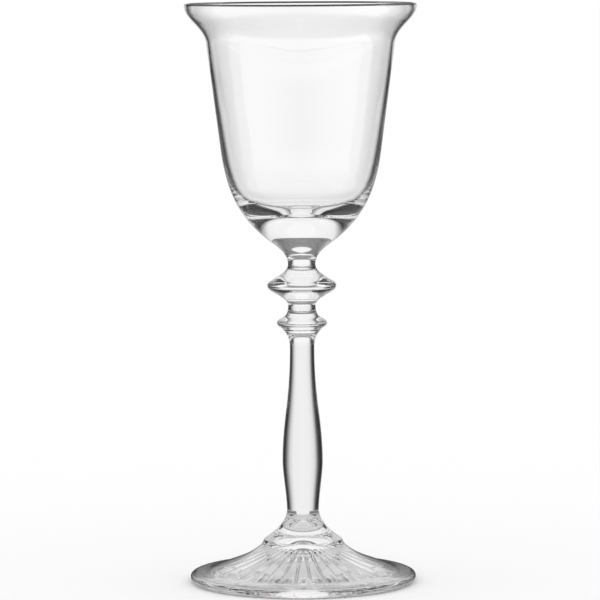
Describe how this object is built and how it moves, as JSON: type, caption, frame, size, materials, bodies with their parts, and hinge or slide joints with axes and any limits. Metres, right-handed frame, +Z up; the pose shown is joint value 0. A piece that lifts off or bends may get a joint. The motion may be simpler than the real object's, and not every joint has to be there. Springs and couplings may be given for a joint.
{
  "type": "cordial glass",
  "caption": "Small clear stemmed glass with a flared bell bowl, a knopped stem and a foot rayed underneath, for serving cordials and liqueurs.",
  "frame": {"origin": "middle of the flat ring that the glass stands on, at table level", "axes": "+Z up along the axis that every piece is turned about; +X and +Y across the foot"},
  "size_m": [0.052, 0.052, 0.13],
  "materials": {
    "clear_glass": "fire-polished, clear and colourless"
  },
  "bodies": {
    "root": {"foot": "clear_glass", "foot_collar": "clear_glass", "stem_shank": "clear_glass", "lower_knop": "clear_glass", "upper_knop": "clear_glass", "bowl": "clear_glass"}
  },
  "joints": []
}
